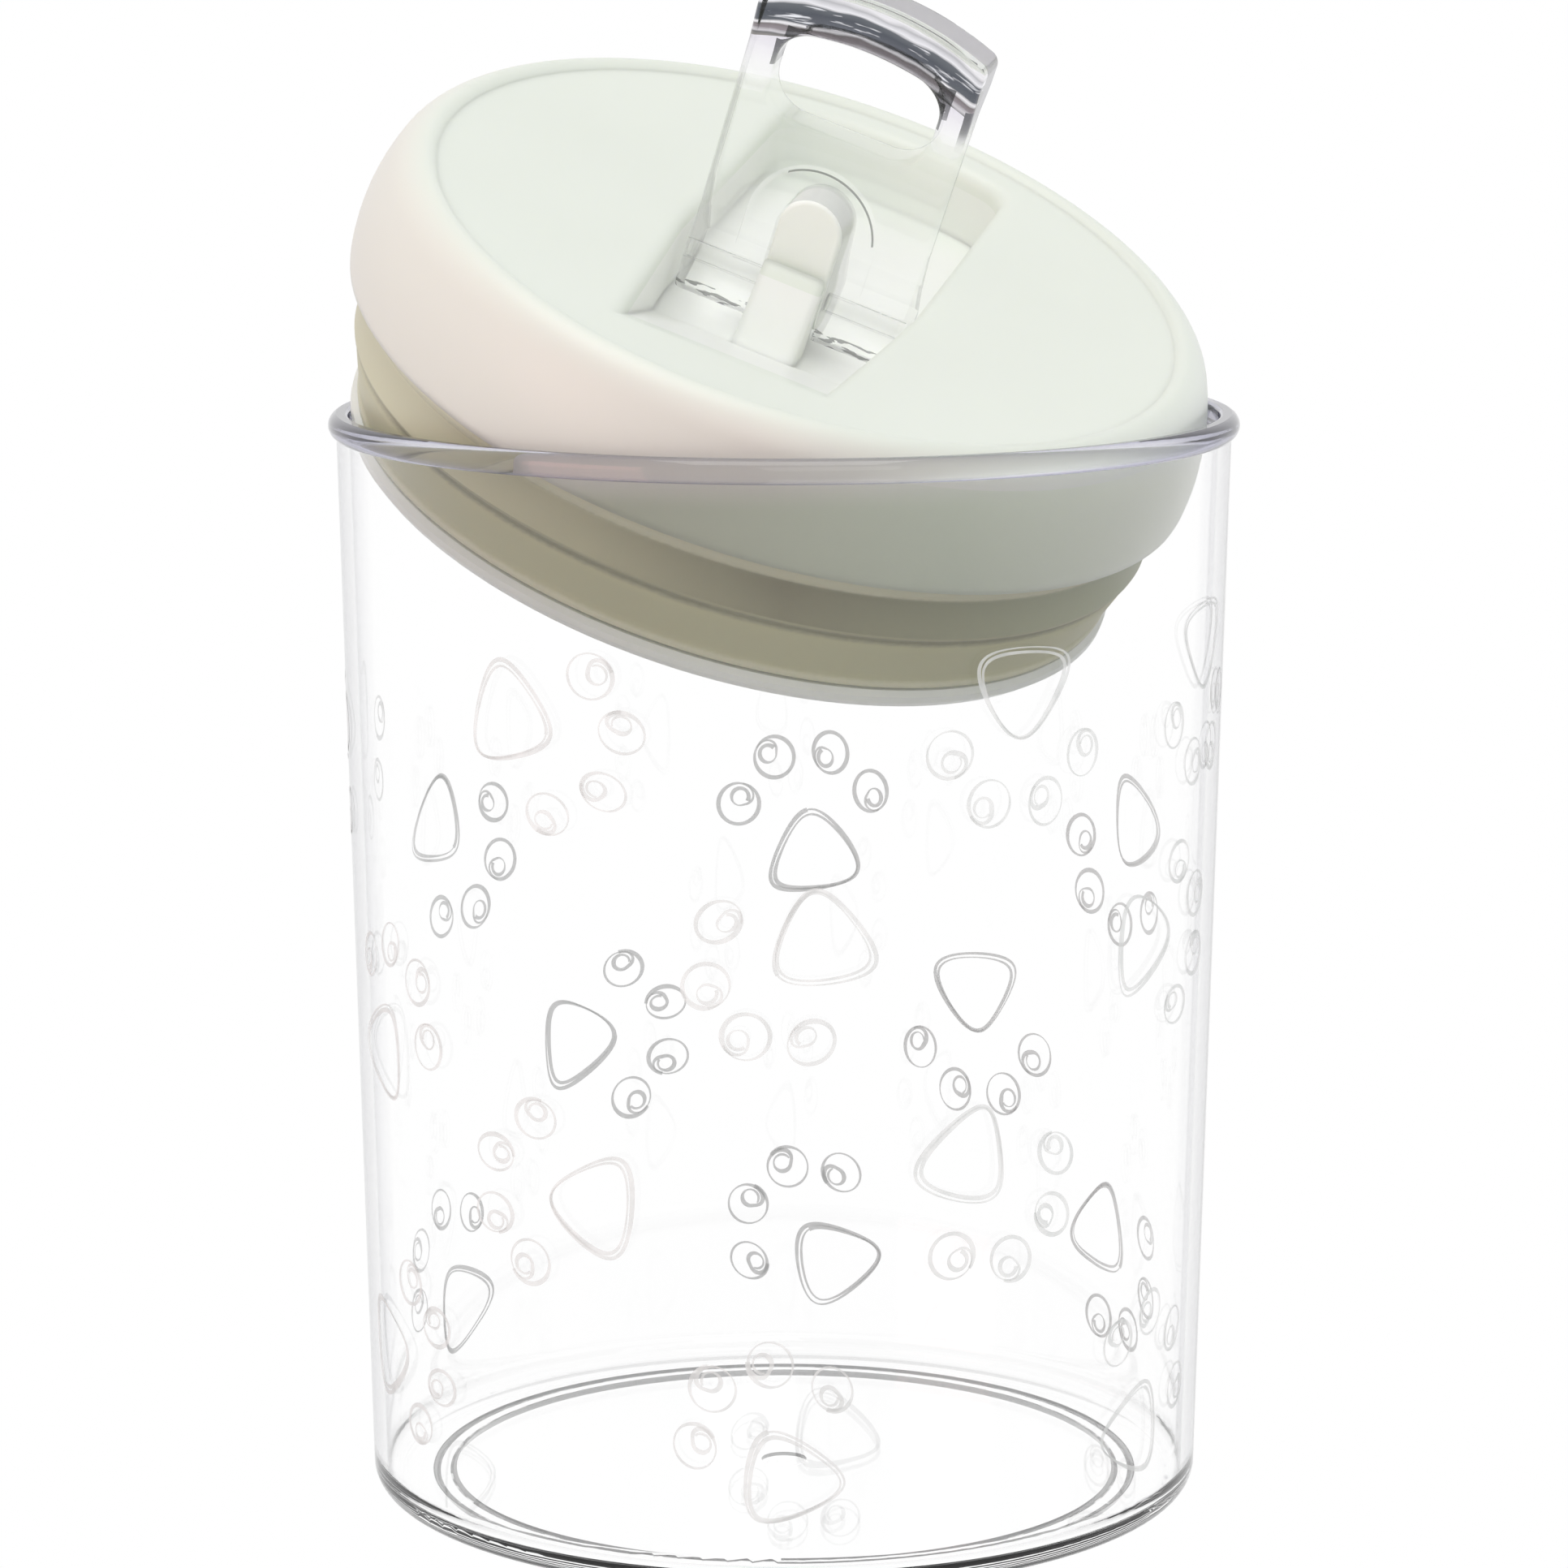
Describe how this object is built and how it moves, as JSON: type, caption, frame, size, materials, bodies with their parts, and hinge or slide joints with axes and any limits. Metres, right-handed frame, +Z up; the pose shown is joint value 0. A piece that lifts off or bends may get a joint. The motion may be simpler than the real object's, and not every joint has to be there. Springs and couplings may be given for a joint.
{
  "type": "pet treat jar",
  "caption": "Tall clear jar with a flip-lock lid lying tipped in its mouth; a clear lever on the lid draws a plate up and squeezes the soft seal outwards.",
  "frame": {"origin": "centre of the jar's foot, on the surface it stands on", "axes": "+Z up along the jar's axis; -Y towards the side that the picture shows"},
  "size_m": [0.145, 0.145, 0.246],
  "materials": {
    "clear_jar": "clear moulded, glossy",
    "clear_lever": "clear moulded, polished",
    "ivory_plastic": "satin moulded",
    "ivory_inner": "matte moulded",
    "seal": "soft silicone, taupe",
    "steel": "plain"
  },
  "bodies": {
    "jar": {"jar": "clear_jar"},
    "lid": {"lid_cover": "ivory_plastic", "lid_base": "ivory_inner", "base_screws": "steel", "rod_bush": "ivory_inner", "gasket": "seal"},
    "seal_carriage": {"pull_rod": "steel", "pressure_plate": "ivory_plastic", "rod_washer": "steel", "rod_nut": "steel", "plate_cap": "ivory_plastic"},
    "lever": {"lever": "clear_lever", "cam_block": "ivory_plastic", "pivot_pin": "steel"}
  },
  "joints": [
    {"name": "lid_lift", "type": "slide", "parent": "jar", "child": "lid", "axis": [0, 0, 1], "range_m": [0, 0.06]},
    {"name": "seal_lift", "type": "slide", "parent": "lid", "child": "seal_carriage", "axis": [0.2775, -0.3343, 0.9007], "range_m": [0, 0.003], "deforming": ["gasket"]},
    {"name": "lever_flip", "type": "hinge", "parent": "seal_carriage", "child": "lever", "pos_m": [0.00195, -0.00301, 0.19596], "axis": [-0.9169, 0.1879, 0.3522], "range_deg": [0, 90]}
  ],
  "couplings": [
    {"joint": "seal_lift", "follows": "lever_flip", "m_per_rad": 0.0019097}
  ]
}
